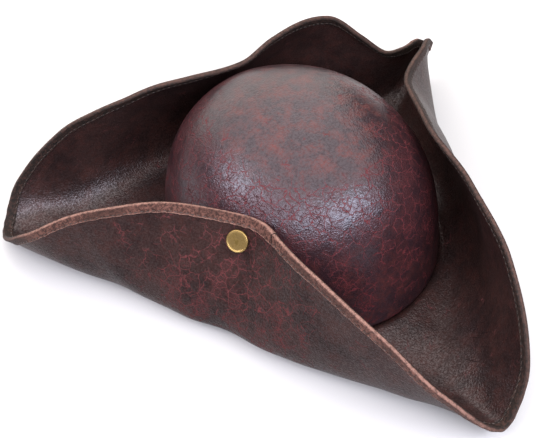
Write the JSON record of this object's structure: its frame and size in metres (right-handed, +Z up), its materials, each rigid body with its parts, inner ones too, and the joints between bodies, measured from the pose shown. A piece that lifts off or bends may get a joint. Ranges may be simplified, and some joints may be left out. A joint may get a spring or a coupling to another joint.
{
  "type": "tricorn hat",
  "caption": "Leather tricorn hat: hollow domed crown, wide brim folded up into three flaps, tape-bound edge, and a brass rivet that holds one flap to the crown.",
  "frame": {"origin": "on the surface that the hat stands on, under the middle of its bounding box", "axes": "+Z up, -Y towards the front tip, +X towards the right flap"},
  "size_m": [0.3532, 0.3416, 0.1148],
  "materials": {
    "crown_leather": "distressed, crackled, soft sheen",
    "brim_leather": "distressed, pebbled, soft sheen",
    "binding_tape": "worn, frayed along its borders",
    "rivet_brass": "antique, satin"
  },
  "bodies": {
    "root": {"crown": "crown_leather", "brim": "brim_leather", "edge_binding": "binding_tape", "rivet_stud": "rivet_brass"}
  },
  "joints": []
}
